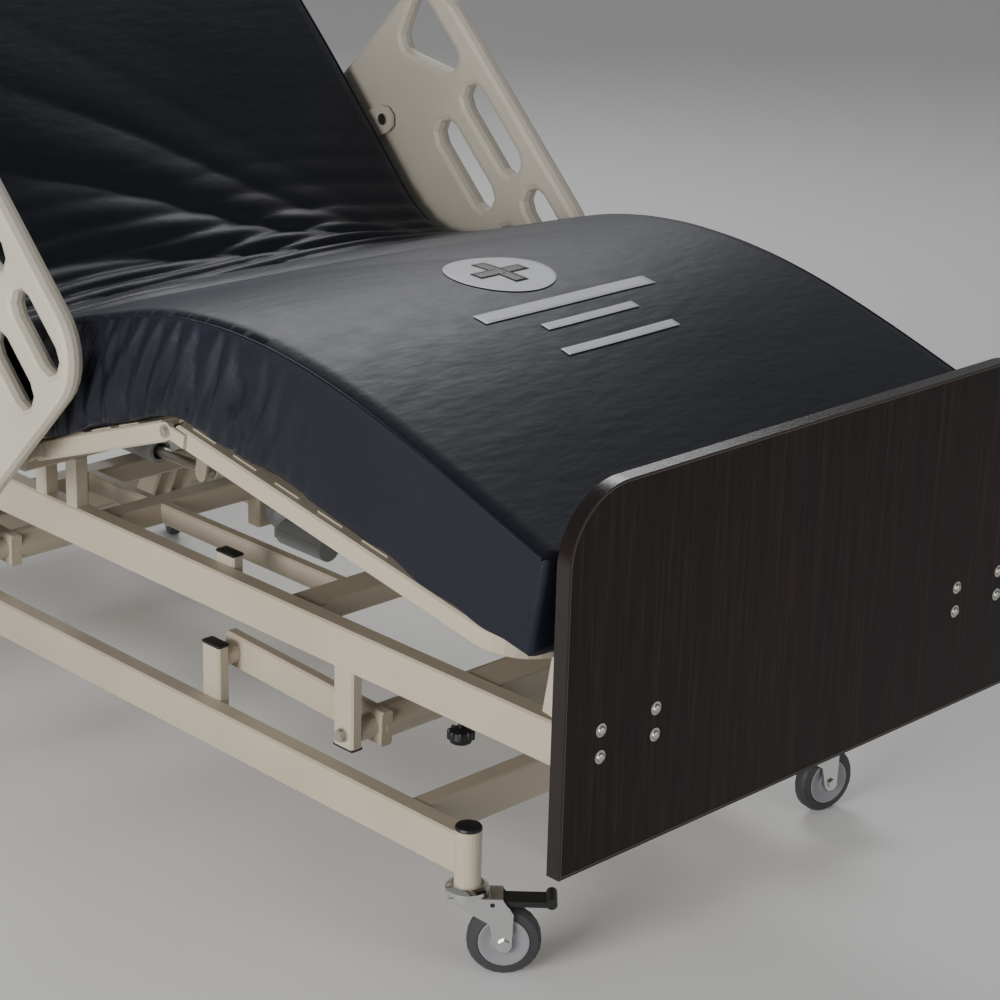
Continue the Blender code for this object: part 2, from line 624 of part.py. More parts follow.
def mattress_block(name, frame, low_y, high_y, low_cut=0.0, high_cut=0.0, top_z=MATTRESS_TOP):
    """A block of foam whose ends lean back by the given angles, so that neighbours can fold together."""
    work = bmesh.new()
    bmesh.ops.create_cube(work, size=1.0)
    for corner in work.verts:
        top = corner.co.z > 0
        height = top_z if top else MATTRESS_BOTTOM
        at_high_end = corner.co.y > 0
        y = high_y - height * math.tan(high_cut) if at_high_end else low_y + height * math.tan(low_cut)
        corner.co = Vector((math.copysign(MATTRESS_HALF_WIDTH, corner.co.x), y, height))
    edges = [edge for edge in work.edges if edge.verts[0].co.z > 0.1 and edge.verts[1].co.z > 0.1
             and abs(edge.verts[0].co.x - edge.verts[1].co.x) < 1e-6]
    bmesh.ops.bevel(work, geom=edges, offset=0.006, segments=2, affect="EDGES", profile=0.5)
    weld(name, "vinyl", [to_solid(work)], parent=frame)


def deck():
    seat = pivot("seat_origin", (0, THIGH_HINGE_Y, DECK_Z))
    thigh = pivot("thigh_hinge", (0, THIGH_HINGE_Y, DECK_Z), turn_x=-THIGH_ANGLE)
    knee = (0, THIGH_HINGE_Y - THIGH_LENGTH * math.cos(THIGH_ANGLE), DECK_Z + THIGH_LENGTH * math.sin(THIGH_ANGLE))
    calf = pivot("knee_hinge", knee, turn_x=CALF_ANGLE)
    back = pivot("back_hinge", (0, BACK_HINGE_Y, DECK_Z), turn_x=BACK_ANGLE)
    seat_section(seat)
    thigh_section(thigh)
    calf_section(calf)
    back_section(back)
    hinge_pins("thigh_hinge", seat)
    hinge_pins("back_hinge", seat, BACK_HINGE_Y - THIGH_HINGE_Y)
    hinge_pins("knee_hinge", thigh, -THIGH_LENGTH)
    fold_at_thigh = math.radians(15.8)
    fold_at_back = math.radians(33.2)
    mattress_block("mattress_calf", calf, -MATTRESS_FOOT, -0.0015, top_z=CALF_MATTRESS_TOP)
    mattress_block("mattress_thigh", thigh, -THIGH_LENGTH + 0.0015, 0.0, high_cut=fold_at_thigh)
    mattress_block("mattress_seat", seat, 0.0, BACK_HINGE_Y - THIGH_HINGE_Y, fold_at_thigh, fold_at_back)
    mattress_block("mattress_back", back, 0.0, MATTRESS_HEAD, low_cut=fold_at_back)
    assist_rails(back)


# Assist rails

def assist_outlines():
    """The moulded rail's outline and its openings, as (along the back, above the deck)."""
    outline = rounded_outline((-0.170, 0.035), (0.420, 0.452), (0.050, 0.050, 0.105, 0.090), steps=8)
    openings = [slot_outline((0.062, 0.386), (0.186, 0.386), 0.024),
                slot_outline((0.056, 0.294), (0.180, 0.294), 0.024),
                slot_outline((-0.110, 0.386), (-0.026, 0.386), 0.024),
                slot_outline((-0.110, 0.294), (-0.036, 0.294), 0.024)]
    grip = (arc((0.366, 0.378), 0.027, -15, 90, 4) + arc((0.274, 0.384), 0.021, 90, 233, 4)
            + arc((0.352, 0.334), 0.025, 233, 345, 4))
    return [outline, *openings, grip]


def assist_rails(back):
    y, z = ASSIST_PIVOT
    for side, sign in SIDES.items():
        hinge = pivot(f"assist_rail_pivot_{side}", (0, y, z), parent=back)
        panel = plate(assist_outlines(), RAIL_THICK, standing(sign * RAIL_PLANE_X), rounding=0.011)
        panel.data.transform(Matrix.Translation((0, -y, -z)))
        hole = rod(PIVOT_HOLE, 0.050, (sign * RAIL_PLANE_X, 0, 0), sides=16)
        weld(f"assist_rail_{side}", "moulded", [panel], [hole], parent=hinge, smooth_angle=50.0)
        tongue = plate([slot_outline((0.367, -0.002), ASSIST_PIVOT, 0.024)], 0.005, standing(sign * 0.4775))
        foot = bar((0.0415, 0.040, 0.012), (sign * 0.46125, 0.365, -0.008), along=X_AXIS)
        clip = bar((0.006, 0.040, 0.044), (sign * 0.4435, 0.365, -0.004), along=Z_AXIS, corner=0.001)
        bore = rod(PIVOT_HOLE, 0.020, (sign * 0.4775, y, z))
        weld(f"assist_bracket_{side}", "moulded", [tongue, foot, clip], [bore], parent=back)
        shank = rod(PIVOT_BOLT, 0.0425, (sign * 0.49525, y, z))
        caps = [rod(0.0100, 0.0030, (sign * x, y, z), sides=20) for x in (0.4732, 0.5168)]
        weld(f"assist_bolt_{side}", "steel", [shank, *caps], parent=back)


def build():
    base_frame()
    upright_bolts()
    casters()
    crank("foot_crank", UPRIGHT_Y)
    crank("head_crank", UPRIGHT_Y + LIFT_SPACING)
    lift_link()
    upper_frame()
    bracket_bolts()
    board("footboard", -1, FOOTBOARD_TOP)
    board("headboard", 1, HEADBOARD_TOP)
    clamp_knobs()
    control_box()
    motors()
    deck()


build()
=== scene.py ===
"""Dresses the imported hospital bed: mattress cover, board edging, caps, screws, wheel covers, materials."""
import json
import math

import bmesh
import bpy
from mathutils import Matrix, Vector, noise


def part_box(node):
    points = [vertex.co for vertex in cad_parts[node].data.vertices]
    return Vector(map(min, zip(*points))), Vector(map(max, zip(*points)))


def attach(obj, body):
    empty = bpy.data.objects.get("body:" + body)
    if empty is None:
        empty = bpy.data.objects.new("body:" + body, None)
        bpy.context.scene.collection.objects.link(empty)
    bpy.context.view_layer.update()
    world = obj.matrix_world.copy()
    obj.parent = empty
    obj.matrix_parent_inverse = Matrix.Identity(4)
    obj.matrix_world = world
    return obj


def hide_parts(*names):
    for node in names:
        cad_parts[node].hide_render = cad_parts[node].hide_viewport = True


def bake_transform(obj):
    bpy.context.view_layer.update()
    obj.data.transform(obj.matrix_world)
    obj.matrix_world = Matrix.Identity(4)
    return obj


SIDES = (-1, 1)
CORNERS = ("foot_left", "foot_right", "head_left", "head_right")

# Camera
CAMERA_PLACE = (-2.422, -2.922, 1.744)
CAMERA_RIGHT = (0.7189, -0.6947, 0.0248)
CAMERA_DOWN = (-0.2183, -0.2595, -0.9408)
CAMERA_FORWARD = (0.6599, 0.6709, -0.3382)
CAMERA_LENS = 91.86

# Deck, as packed: hinge points in the YZ plane and the sections' angles
DECK_Z = 0.531
THIGH_HINGE = Vector((0.076, DECK_Z))
BACK_HINGE = Vector((0.264, DECK_Z))
THIGH_ANGLE = math.radians(19.5)
CALF_ANGLE = math.radians(10.0)
BACK_ANGLE = math.radians(45.0)
THIGH_LENGTH = 0.360
KNEE = THIGH_HINGE + THIGH_LENGTH * Vector((-math.cos(THIGH_ANGLE), math.sin(THIGH_ANGLE)))
FOOT_REACH = 0.712
HEAD_REACH = 0.748

# Mattress
HALF_WIDTH = 0.455
BOTTOM = 0.0195
STATIONS = 330
TOP_COLUMNS = 72
SIDE_ROWS = 14
BOTTOM_COLUMNS = 24
EDGE_RADIUS = 0.011
PIPING_RADIUS = 0.0026

# The share of the stations in each deck section, from the foot
SPANS = (0.40, 0.20, 0.09, 0.31)

# The top line as (y, z) over the calf, thigh and seat, then (along, up) from the back hinge
TOP_PROFILE = (
    ((-0.997, 0.693), (-0.929, 0.716), (-0.859, 0.741), (-0.776, 0.769), (-0.676, 0.799), (-0.611, 0.815),
     (-0.534, 0.829), (-0.454, 0.837), (-0.372, 0.838), (-0.265, 0.827)),
    ((-0.265, 0.827), (-0.204, 0.812), (-0.116, 0.787), (0.022, 0.744), (0.045, 0.738)),
    ((0.045, 0.738), (0.100, 0.722), (0.162, 0.713)),
)
BACK_PROFILE = ((0.110, 0.178), (0.200, 0.184), (0.450, 0.190), (0.640, 0.186), (0.748, 0.178))

# The points that the folds spread out from, and how high the folds stand
NEAR_FAN = (-0.56, 0.07)
FAR_FAN = (0.53, 0.10)
NEAR_FOLD = 0.0130
FAR_FOLD = 0.0150
PINCH_FOLD = 0.0080
BROAD_FOLD = 0.0026
FINE_FOLD = 0.0011
WIDE_GATHER = 0.0110
NARROW_GATHER = 0.0062
LOOSE_SIDE = 0.0030

# Printed mark: a disc, and bars as (x, y, half length, height)
PRINT_CENTRE_Y = -0.447
PRINT_RADIUS = 0.080
PRINT_BARS = ((0.010, -0.570, 0.165, 0.026), (0.004, -0.622, 0.088, 0.016), (0.000, -0.684, 0.108, 0.016))


# Materials

def node_material(name, colour, roughness, metallic=0.0):
    material = bpy.data.materials.new(name)
    material.use_nodes = True
    shader = material.node_tree.nodes["Principled BSDF"]
    shader.inputs["Base Color"].default_value = (*colour, 1.0)
    shader.inputs["Roughness"].default_value = roughness
    shader.inputs["Metallic"].default_value = metallic
    return material, shader


def add_noise(material, scale, detail=4.0, stretch=(1.0, 1.0, 1.0)):
    """A noise texture in the bed's own coordinates."""
    tree = material.node_tree
    coordinates = tree.nodes.new("ShaderNodeTexCoord")
    mapping = tree.nodes.new("ShaderNodeMapping")
    mapping.inputs["Scale"].default_value = stretch
    texture = tree.nodes.new("ShaderNodeTexNoise")
    texture.inputs["Scale"].default_value = scale
    texture.inputs["Detail"].default_value = detail
    tree.links.new(coordinates.outputs["Object"], mapping.inputs["Vector"])
    tree.links.new(mapping.outputs["Vector"], texture.inputs["Vector"])
    return texture.outputs["Fac"]


def ramp_colour(material, shader, factor, stops):
    tree = material.node_tree
    ramp = tree.nodes.new("ShaderNodeValToRGB")
    ramp.color_ramp.elements[0].position = stops[0][0]
    ramp.color_ramp.elements[0].color = (*stops[0][1], 1.0)
    ramp.color_ramp.elements[1].position = stops[-1][0]
    ramp.color_ramp.elements[1].color = (*stops[-1][1], 1.0)
    for position, colour in stops[1:-1]:
        element = ramp.color_ramp.elements.new(position)
        element.color = (*colour, 1.0)
    tree.links.new(factor, ramp.inputs["Fac"])
    tree.links.new(ramp.outputs["Color"], shader.inputs["Base Color"])


def vary_roughness(material, shader, factor, low, high):
    tree = material.node_tree
    spread = tree.nodes.new("ShaderNodeMapRange")
    spread.inputs["To Min"].default_value = low
    spread.inputs["To Max"].default_value = high
    tree.links.new(factor, spread.inputs["Value"])
    tree.links.new(spread.outputs["Result"], shader.inputs["Roughness"])


def add_bump(material, shader, factor, distance, strength=1.0):
    tree = material.node_tree
    bump = tree.nodes.new("ShaderNodeBump")
    bump.inputs["Distance"].default_value = distance
    bump.inputs["Strength"].default_value = strength
    tree.links.new(factor, bump.inputs["Height"])
    tree.links.new(bump.outputs["Normal"], shader.inputs["Normal"])


def powder_coat():
    material, shader = node_material("powder_coat", (0.46, 0.41, 0.33), 0.38)
    stops = [(0.30, (0.44, 0.385, 0.295)), (0.70, (0.50, 0.44, 0.345))]
    ramp_colour(material, shader, add_noise(material, 6.0), stops)
    vary_roughness(material, shader, add_noise(material, 40.0), 0.32, 0.46)
    add_bump(material, shader, add_noise(material, 900.0, 2.0), 0.0002, 0.35)
    shader.inputs["Coat Weight"].default_value = 0.15
    return material


def moulded_plastic(name, dark, light, roughness):
    material, shader = node_material(name, light, roughness)
    ramp_colour(material, shader, add_noise(material, 5.0), [(0.3, dark), (0.7, light)])
    vary_roughness(material, shader, add_noise(material, 60.0), roughness - 0.05, roughness + 0.07)
    add_bump(material, shader, add_noise(material, 1400.0, 2.0), 0.0003, 0.4)
    return material


def dark_wood():
    material, shader = node_material("dark_wood", (0.012, 0.006, 0.004), 0.33)
    streaks = add_noise(material, 1.0, 8.0, (210.0, 210.0, 5.0))
    stops = [(0.30, (0.0040, 0.0022, 0.0020)), (0.50, (0.0085, 0.0040, 0.0032)),
             (0.68, (0.0230, 0.0095, 0.0068)), (0.85, (0.0400, 0.0160, 0.0110))]
    ramp_colour(material, shader, streaks, stops)
    vary_roughness(material, shader, streaks, 0.34, 0.48)
    add_bump(material, shader, streaks, 0.0003, 0.30)
    shader.inputs["Specular IOR Level"].default_value = 0.22
    return material


def cover_fabric():
    """A thin coated cover: near-black navy with a soft sheen and fine creases."""
    material, shader = node_material("cover_fabric", (0.005, 0.006, 0.011), 0.42)
    stops = [(0.3, (0.0038, 0.0048, 0.0095)), (0.7, (0.0060, 0.0074, 0.0145))]
    ramp_colour(material, shader, add_noise(material, 7.0, 6.0), stops)
    vary_roughness(material, shader, add_noise(material, 24.0), 0.38, 0.50)
    tree = material.node_tree
    weave = add_noise(material, 1.0, 1.0, (1900.0, 1900.0, 1900.0))
    creases = add_noise(material, 1.0, 5.0, (26.0, 60.0, 60.0))
    mix = tree.nodes.new("ShaderNodeMath")
    mix.operation = "MULTIPLY_ADD"
    mix.inputs[1].default_value = 0.05
    tree.links.new(weave, mix.inputs[0])
    tree.links.new(creases, mix.inputs[2])
    add_bump(material, shader, mix.outputs["Value"], 0.0016, 0.55)
    shader.inputs["Sheen Weight"].default_value = 0.06
    shader.inputs["Specular IOR Level"].default_value = 0.34
    shader.inputs["Specular Tint"].default_value = (0.84, 0.88, 1.0, 1.0)
    shader.inputs["Sheen Roughness"].default_value = 0.4
    shader.inputs["Sheen Tint"].default_value = (0.35, 0.40, 0.60, 1.0)
    return material


def metal(name, colour, low, high, scale=120.0):
    material, shader = node_material(name, colour, low, 1.0)
    grain = add_noise(material, scale, 6.0)
    vary_roughness(material, shader, grain, low, high)
    add_bump(material, shader, grain, 0.0002, 0.2)
    return material


def make_materials():
    glossy = moulded_plastic("edge_band", (0.006, 0.0035, 0.003), (0.010, 0.005, 0.004), 0.16)
    return {
        "beige_powder_coat": powder_coat(),
        "dark_wood": dark_wood(),
        "navy_cover": cover_fabric(),
        "zinc_steel": metal("zinc_steel", (0.55, 0.53, 0.48), 0.22, 0.42),
        "caster_chrome": metal("caster_chrome", (0.70, 0.70, 0.69), 0.10, 0.26, 60.0),
        "grey_wheel": moulded_plastic("wheel_tread", (0.030, 0.031, 0.034), (0.045, 0.046, 0.050), 0.55),
        "black_plastic": moulded_plastic("black_plastic", (0.007, 0.007, 0.008), (0.013, 0.013, 0.014),
                                         0.42),
        "grey_housing": moulded_plastic("grey_housing", (0.23, 0.24, 0.25), (0.30, 0.31, 0.32), 0.45),
        "moulded_rail": moulded_plastic("moulded_rail", (0.50, 0.46, 0.385), (0.57, 0.53, 0.45), 0.44),
        "wheel_disc": moulded_plastic("wheel_disc", (0.20, 0.205, 0.22), (0.26, 0.265, 0.28), 0.40),
        "edge_band": glossy,
        "edge_line": moulded_plastic("edge_line", (0.10, 0.062, 0.045), (0.14, 0.09, 0.065), 0.35),
        "print_ink": moulded_plastic("print_ink", (0.62, 0.64, 0.68), (0.72, 0.74, 0.78), 0.50),
        "print_dark": moulded_plastic("print_dark", (0.012, 0.014, 0.022), (0.018, 0.020, 0.030), 0.42),
    }


# Mesh helpers

def finish_mesh(name, work, material, body=None, angle=40.0):
    mesh = bpy.data.meshes.new(name)
    work.to_mesh(mesh)
    work.free()
    mesh.shade_smooth()
    mesh.set_sharp_from_angle(angle=math.radians(angle))
    mesh.materials.append(MATERIALS[material])
    piece = bpy.data.objects.new(name, mesh)
    bpy.context.scene.collection.objects.link(piece)
    if body:
        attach(piece, body)
    return piece


def lathe(work, profile, steps, place):
    """Turns a profile of (radius, height) about Z and adds it to the mesh, closed at its ends."""
    rings = []
    for radius, height in profile:
        ring = []
        for step in range(steps):
            angle = 2 * math.pi * step / steps
            point = Vector((radius * math.cos(angle), radius * math.sin(angle), height))
            ring.append(work.verts.new(place @ point))
        rings.append(ring)
    for low, high in zip(rings, rings[1:]):
        for step in range(steps):
            other = (step + 1) % steps
            work.faces.new((low[step], low[other], high[other], high[step]))
    work.faces.new(list(reversed(rings[0])))
    work.faces.new(rings[-1])


def rounded_box(work, size, centre, rounding):
    made = bmesh.ops.create_cube(work, size=1.0)
    bmesh.ops.scale(work, vec=size, verts=made["verts"])
    edges = {edge for vert in made["verts"] for edge in vert.link_edges}
    bevelled = bmesh.ops.bevel(work, geom=list(edges), offset=rounding, segments=3, affect="EDGES",
                               profile=0.5)
    linked = {vert for face in bevelled["faces"] for vert in face.verts}
    bmesh.ops.translate(work, vec=centre, verts=list(linked))


def axis_matrix(centre, axis):
    """Turns local Z onto the axis and moves it to the centre."""
    turn = Vector((0, 0, 1)).rotation_difference(Vector(axis).normalized()).to_matrix().to_4x4()
    return Matrix.Translation(centre) @ turn


# Mattress

def section_point(origin, angle, along, up):
    return origin + Vector((along * math.cos(angle) - up * math.sin(angle),
                            along * math.sin(angle) + up * math.cos(angle)))


def bottom_spans():
    """The mattress's underside from the foot to the head, one list of points to a deck section."""
    knee = BOTTOM * math.tan((THIGH_ANGLE + CALF_ANGLE) / 2)
    hip = BOTTOM * math.tan(THIGH_ANGLE / 2)
    back = BOTTOM * math.tan(BACK_ANGLE / 2)
    points = [section_point(KNEE, CALF_ANGLE, -FOOT_REACH, BOTTOM),
              section_point(KNEE, CALF_ANGLE, knee, BOTTOM),
              section_point(THIGH_HINGE, 0.0, hip, BOTTOM),
              section_point(BACK_HINGE, 0.0, -back, BOTTOM),
              section_point(BACK_HINGE, BACK_ANGLE, HEAD_REACH, BOTTOM)]
    return [[first, second] for first, second in zip(points, points[1:])]


def top_spans():
    """The mattress's top from the foot: the foam arches over the knee and sinks at the back hinge."""
    spans = [[Vector(point) for point in span] for span in TOP_PROFILE]
    back = [section_point(BACK_HINGE, BACK_ANGLE, along, up) for along, up in BACK_PROFILE]
    spans.append([spans[-1][-1]] + back)
    return spans


def sampled(spans):
    """Points along the line, with the same share of stations in each span whatever its length."""
    points = []
    for span, share in zip(spans, SPANS):
        lengths = [(second - first).length for first, second in zip(span, span[1:])]
        count = round(share * STATIONS)
        for step in range(count):
            rest = sum(lengths) * step / count
            for first, second, length in zip(span, span[1:], lengths):
                if rest <= length:
                    points.append(first.lerp(second, rest / length))
                    break
                rest -= length
    points.append(spans[-1][-1])
    return points


def smoothed(points, reach):
    """A moving average that keeps the ends where they are."""
    result = []
    last = len(points) - 1
    for index in range(len(points)):
        window = min(reach, index, last - index)
        part = points[index - window:index + window + 1]
        result.append(sum(part, Vector((0.0, 0.0))) / len(part))
    return result


def fold_strength(y, centre, spread):
    return math.exp(-((y - centre) / spread) ** 2)


def eased(value, start, end):
    share = min(1.0, max(0.0, (value - start) / (end - start)))
    return share * share * (3.0 - 2.0 * share)


def fan(turn, reach, count, centre, spread):
    """Puffed ridges between narrow creases that spread out from one point."""
    ridge = abs(math.sin(count * turn)) ** 0.75
    return (ridge * fold_strength(turn, centre, spread) * eased(reach, 0.08, 0.30)
            * (1.0 - eased(reach, 0.62, 1.02)))


def cover_folds(x, y, z):
    """How far the cover stands off the foam's top: folds that fan out from both ends of the valley."""
    wander = noise.noise(Vector((x * 2.2, y * 2.6, 0.0)))
    near_turn = math.atan2(NEAR_FAN[1] - y, x - NEAR_FAN[0]) + 0.035 * wander
    near_reach = math.hypot(x - NEAR_FAN[0], y - NEAR_FAN[1])
    far_turn = math.atan2(y - FAR_FAN[1], FAR_FAN[0] - x) + 0.045 * wander
    far_reach = math.hypot(x - FAR_FAN[0], y - FAR_FAN[1])
    broad = noise.noise(Vector((x * 3.4, y * 3.0, 7.0)))
    fine = noise.noise(Vector((x * 7.0 + y * 5.0, y * 17.0 - x * 4.0, 3.0)))
    valley = fold_strength(y, 0.17, 0.10)
    pinch = valley * abs(math.sin(95.0 * (y - 0.10) - 5.0 * x * wander + 1.6 * broad)) ** 0.8
    return (NEAR_FOLD * fan(near_turn, near_reach, 15.0, 0.20, 0.30)
            + FAR_FOLD * fan(far_turn, far_reach, 21.0, 0.20, 0.24)
            + PINCH_FOLD * pinch + BROAD_FOLD * broad + FINE_FOLD * fine * (0.3 + valley))


def side_folds(y, height, side):
    """How far the side stands out: slanting gathers, strongest from the knee to the valley."""
    gathered = eased(y, -0.66, -0.34) * (1.0 - eased(y, 0.24, 0.44))
    slanted = y - 0.085 * (1.0 - height)
    wander = noise.noise(Vector((slanted * 13.0, height * 1.6, side * 5.0)))
    wide = abs(math.sin(74.0 * slanted + 2.4 * wander)) ** 0.8
    narrow = abs(math.sin(171.0 * slanted - 2.0 * wander + side)) ** 0.8
    bulge = math.sin(math.pi * min(1.0, 0.12 + 0.88 * height)) ** 0.7
    loose = noise.noise(Vector((y * 6.0, height * 2.4, side * 9.0)))
    return bulge * (0.0010 + gathered * (WIDE_GATHER * wide + NARROW_GATHER * narrow) + LOOSE_SIDE * loose)


def hem_drop(y, side):
    """The cover's hem is drawn up near the knee, and rises and falls a little along the side."""
    drawn = 0.022 * fold_strength(y, -0.48, 0.26)
    uneven = noise.noise(Vector((y * 15.0, side * 4.0, 1.0)))
    return drawn + 0.0030 * math.sin(31.0 * y + side) + 0.0085 * uneven


def ring_layout():
    """The cross-section as (kind, x share, height share), anticlockwise seen from the foot."""
    layout = [("bottom", -1.0 + 2.0 * step / BOTTOM_COLUMNS, 0.0) for step in range(1, BOTTOM_COLUMNS)]
    layout += [("side", 1.0, step / SIDE_ROWS) for step in range(SIDE_ROWS)]
    layout += [("top", 1.0 - 2.0 * step / TOP_COLUMNS, 1.0) for step in range(TOP_COLUMNS + 1)]
    layout += [("side", -1.0, 1.0 - step / SIDE_ROWS) for step in range(1, SIDE_ROWS + 1)]
    return layout


def cover_point(low, high, kind, across, height):
    """A point of the cover in a station's plane, which runs from its low to its high point."""
    up = (high - low).normalized()
    middle = low.lerp(high, height)
    x = across * HALF_WIDTH
    if kind == "top":
        inset = max(0.0, abs(across) - 1.0 + EDGE_RADIUS / HALF_WIDTH) * HALF_WIDTH
        drop = EDGE_RADIUS - math.sqrt(max(0.0, EDGE_RADIUS ** 2 - inset ** 2))
        fade = min(1.0, (1.0 - abs(across)) / 0.06)
        crown = 0.004 * (1.0 - across ** 4) + fade * cover_folds(x, middle.x, middle.y) - drop * 0.6
        middle = middle + up * (crown - 0.004)
    elif kind == "side":
        side = 1.0 if across > 0 else -1.0
        out = side_folds(middle.x, height, side) - 0.006 * (1.0 - height) ** 2
        x = side * (HALF_WIDTH - 0.004 + out)
        middle = middle + up * hem_drop(middle.x, side) * (1.0 - height) ** 3
    return Vector((x, middle.x, middle.y))


def end_rings(points, outward):
    """Rings that round off and close an end of the mattress."""
    centre = sum(points, Vector()) / len(points)
    rings = []
    for shrink, push in ((0.985, 0.006), (0.955, 0.0095), (0.86, 0.011), (0.60, 0.012), (0.30, 0.0125)):
        rings.append([centre + (point - centre) * shrink + outward * push for point in points])
    return rings


def mattress_rings():
    low = smoothed(sampled(bottom_spans()), 9)
    high = smoothed(sampled(top_spans()), 11)
    layout = ring_layout()
    rings = [[cover_point(a, b, *cell) for cell in layout] for a, b in zip(low, high)]
    foot = Vector((0.0, -math.cos(CALF_ANGLE), -math.sin(CALF_ANGLE)))
    head = Vector((0.0, math.cos(BACK_ANGLE), math.sin(BACK_ANGLE)))
    before = list(reversed(end_rings(rings[0], foot * 0.9)))
    after = end_rings(rings[-1], head * 0.9)
    return before, rings, after


def skin(work, rings, close_start, close_end):
    made = [[work.verts.new(point) for point in ring] for ring in rings]
    for first, second in zip(made, made[1:]):
        for index in range(len(first)):
            after = (index + 1) % len(first)
            work.faces.new((first[index], first[after], second[after], second[index]))
    if close_start:
        work.faces.new(list(reversed(made[0])))
    if close_end:
        work.faces.new(made[-1])


def piping(work, rings, index, radius):
    """A thin round cord sewn along one line of the cover."""
    path = [ring[index] for ring in rings]
    loops = []
    for place, point in enumerate(path):
        ahead = path[min(place + 1, len(path) - 1)] - path[max(place - 1, 0)]
        across = Vector((1.0, 0.0, 0.0))
        lift = across.cross(ahead.normalized())
        loops.append([work.verts.new(point + radius * (math.cos(turn) * across + math.sin(turn) * lift))
                      for turn in (2 * math.pi * step / 7 for step in range(7))])
    for first, second in zip(loops, loops[1:]):
        for step in range(7):
            after = (step + 1) % 7
            work.faces.new((first[step], first[after], second[after], second[step]))
    work.faces.new(list(reversed(loops[0])))
    work.faces.new(loops[-1])


def mattress():
    before, rings, after = mattress_rings()
    shares = [sum(SPANS[:count]) for count in range(5)]
    mid_thigh = round((shares[1] + 0.5 * SPANS[1]) * STATIONS)
    mid_seat = round((shares[2] + 0.5 * SPANS[2]) * STATIONS)
    parts = {
        "cover_legs": (before + rings[:mid_thigh + 1], rings[:mid_thigh + 1], True, False),
        "cover_thighs": (rings[mid_thigh:mid_seat + 1], rings[mid_thigh:mid_seat + 1], False, False),
        "cover_back": (rings[mid_seat:] + after, rings[mid_seat:], False, True),
    }
    edges = (BOTTOM_COLUMNS - 1 + SIDE_ROWS, BOTTOM_COLUMNS - 1 + SIDE_ROWS + TOP_COLUMNS)
    pieces = {}
    for name, (all_rings, seam_rings, start, end) in parts.items():
        work = bmesh.new()
        skin(work, all_rings, start, end)
        for edge in edges:
            piping(work, seam_rings, edge, PIPING_RADIUS)
        bmesh.ops.recalc_face_normals(work, faces=work.faces)
        pieces[name] = finish_mesh(name, work, "navy_cover", angle=75.0)
    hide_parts("mattress_calf")
    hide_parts("mattress_thigh")
    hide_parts("mattress_back", "mattress_seat")
    blend_pieces(pieces)
    return rings


def blend_pieces(pieces):
    """Bakes each piece's transform into its mesh."""
    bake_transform(pieces["cover_legs"])
    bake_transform(pieces["cover_thighs"])
    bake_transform(pieces["cover_back"])


# Printed mark on the cover: a pale disc with a plus, and plain bars in place of the lettering

def print_point(rings, x, y, lift):
    """The point of the cover's top at x and y, lifted off it a little."""
    first_top = BOTTOM_COLUMNS - 1 + SIDE_ROWS
    column = first_top + round((1.0 - x / HALF_WIDTH) / 2.0 * TOP_COLUMNS)
    for first, second in zip(rings, rings[1:]):
        a, b = first[column], second[column]
        if a.y <= y <= b.y:
            share = (y - a.y) / (b.y - a.y)
            height = a.z + (b.z - a.z) * share
            return Vector((x, y, height + lift))
    raise ValueError(f"the cover has no top at {x:.3f}, {y:.3f}")


def printed(name, rings, shapes, material, lift):
    """Flat shapes laid on the cover, each a grid from one edge line to another."""
    work = bmesh.new()
    for left, right, rows, columns in shapes:
        grid = []
        for row in range(rows + 1):
            a, b = left(row / rows), right(row / rows)
            grid.append([work.verts.new(print_point(rings, *a.lerp(b, column / columns), lift))
                         for column in range(columns + 1)])
        for low, high in zip(grid, grid[1:]):
            for column in range(columns):
                corners = (low[column], low[column + 1], high[column + 1], high[column])
                if len({tuple(round(c, 6) for c in corner.co) for corner in corners}) == 4:
                    work.faces.new(corners)
    bmesh.ops.delete(work, geom=[vert for vert in work.verts if not vert.link_faces], context="VERTS")
    bmesh.ops.recalc_face_normals(work, faces=work.faces)
    piece = finish_mesh(name, work, material)
    solid = piece.modifiers.new("thickness", "SOLIDIFY")
    solid.thickness = 0.0004
    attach(piece, "calf")
    return piece


def ellipse_edges(centre, half_x, half_y):
    def edge(sign):
        def at(share):
            angle = math.pi * (share - 0.5) * 0.999
            return Vector((centre[0] + sign * half_x * math.cos(angle),
                           centre[1] + half_y * math.sin(angle)))
        return at
    return edge(-1), edge(1)


def bar_edges(low, high):
    return (lambda share: Vector((low[0], low[1] + (high[1] - low[1]) * share)),
            lambda share: Vector((high[0], low[1] + (high[1] - low[1]) * share)))


def printed_mark(rings):
    mark = (0.0, PRINT_CENTRE_Y)
    disc = (*ellipse_edges(mark, PRINT_RADIUS, PRINT_RADIUS), 30, 26)
    bars = [(*bar_edges((x - half, y - height / 2), (x + half, y + height / 2)), 4, 36)
            for x, y, half, height in PRINT_BARS]
    printed("print_disc", rings, [disc, *bars], "print_ink", 0.0016)
    plus = [(*bar_edges((mark[0] - 0.046, mark[1] - 0.012), (mark[0] + 0.046, mark[1] + 0.012)), 4, 14),
            (*bar_edges((mark[0] - 0.012, mark[1] - 0.046), (mark[0] + 0.012, mark[1] + 0.046)), 14, 4)]
    printed("print_plus", rings, plus, "print_dark", 0.0024)


# Boards

def board_outline(low, high, radius, inset):
    """The board's outline in X and Z, moved inward by inset."""
    half = high[0] - inset
    bottom = low[1] + inset
    top = high[1] - inset
    bend = radius - inset
    points = [(-half, bottom), (half, bottom)]
    for centre_x, start in ((half - bend, 0), (-half + bend, 90)):
        for step in range(17):
            angle = math.radians(start + 90 * step / 16)
            points.append((centre_x + bend * math.cos(angle), top - bend + bend * math.sin(angle)))
    return points


